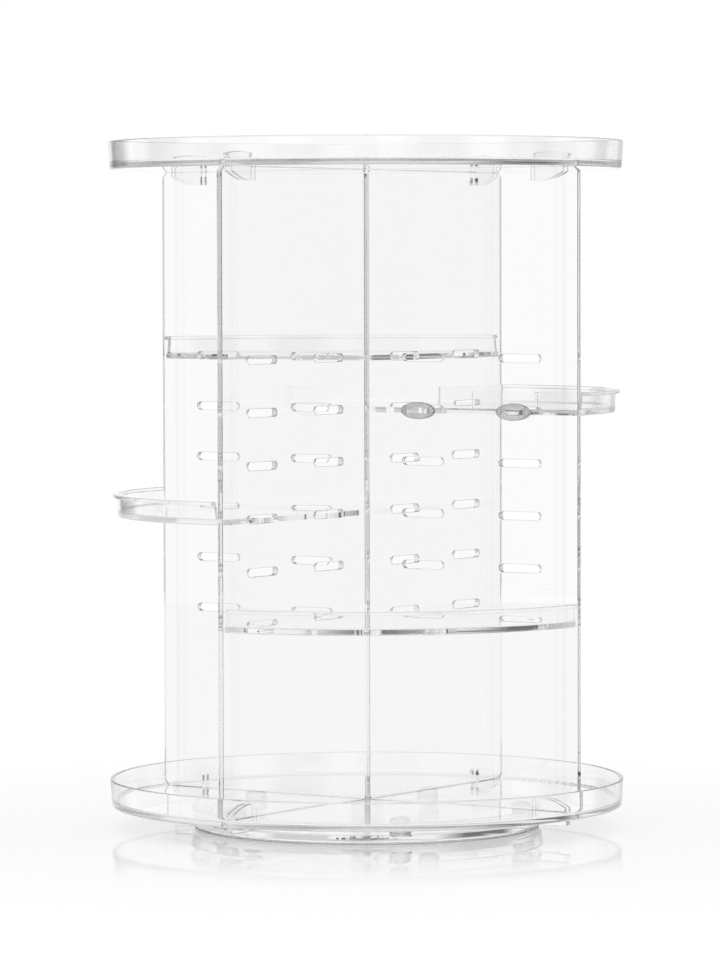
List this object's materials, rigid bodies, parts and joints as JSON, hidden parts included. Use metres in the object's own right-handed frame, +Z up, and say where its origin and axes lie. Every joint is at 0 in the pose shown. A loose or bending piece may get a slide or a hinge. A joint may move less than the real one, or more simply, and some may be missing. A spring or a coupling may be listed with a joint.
{
  "type": "rotating makeup organizer",
  "caption": "Clear rotating organizer: round trays top and bottom joined by crossed slotted panels, with lipped quarter-round shelves hung in the corners, on a shallow turntable base.",
  "frame": {"origin": "centre of the turning axis, in the plane that the base stands on", "axes": "+Z up along the turning axis; the crossed panels lie in the XZ and YZ planes; the shelf locked with rings is between +X and +Y, and its rings face -Y"},
  "size_m": [0.23, 0.23, 0.3067],
  "materials": {
    "clear_plastic": "clear polished styrene plastic",
    "glide_plastic": "natural low-friction plastic",
    "non_slip_rubber": "translucent soft plastic",
    "ring_silicone": "translucent silicone",
    "pivot_steel": "plated steel"
  },
  "bodies": {
    "base": {"base_dish": "clear_plastic", "non_slip_ring": "non_slip_rubber", "glide_pad_1": "glide_plastic", "glide_pad_2": "glide_plastic", "glide_pad_3": "glide_plastic", "glide_pad_4": "glide_plastic", "glide_pad_5": "glide_plastic"},
    "carousel": {"bottom_tray": "clear_plastic", "top_tray": "clear_plastic", "cross_panel": "clear_plastic", "through_panel": "clear_plastic", "shelf_right": "clear_plastic", "pivot_washer": "pivot_steel", "pivot_screw": "pivot_steel"},
    "back_shelf": {"shelf_back": "clear_plastic"},
    "left_shelf": {"shelf_left": "clear_plastic"},
    "front_shelf": {"shelf_front": "clear_plastic"},
    "inner_ring": {"lock_ring_inner": "ring_silicone"},
    "outer_ring": {"lock_ring_outer": "ring_silicone"}
  },
  "joints": [
    {"name": "carousel_spin", "type": "hinge", "parent": "base", "child": "carousel", "pos_m": [0, 0, 0.0098], "axis": [0, 0, 1], "continuous": true},
    {"name": "back_shelf_slide", "type": "slide", "parent": "carousel", "child": "back_shelf", "axis": [-0.7071, 0.7071, 0], "range_m": [0, 0.12]},
    {"name": "left_shelf_slide", "type": "slide", "parent": "carousel", "child": "left_shelf", "axis": [-0.7071, -0.7071, 0], "range_m": [0, 0.12]},
    {"name": "front_shelf_slide", "type": "slide", "parent": "carousel", "child": "front_shelf", "axis": [0.7071, -0.7071, 0], "range_m": [0, 0.12]},
    {"name": "inner_ring_slide", "type": "slide", "parent": "carousel", "child": "inner_ring", "axis": [0, -1, 0], "range_m": [0, 0.02]},
    {"name": "outer_ring_slide", "type": "slide", "parent": "carousel", "child": "outer_ring", "axis": [0, -1, 0], "range_m": [0, 0.02]}
  ]
}
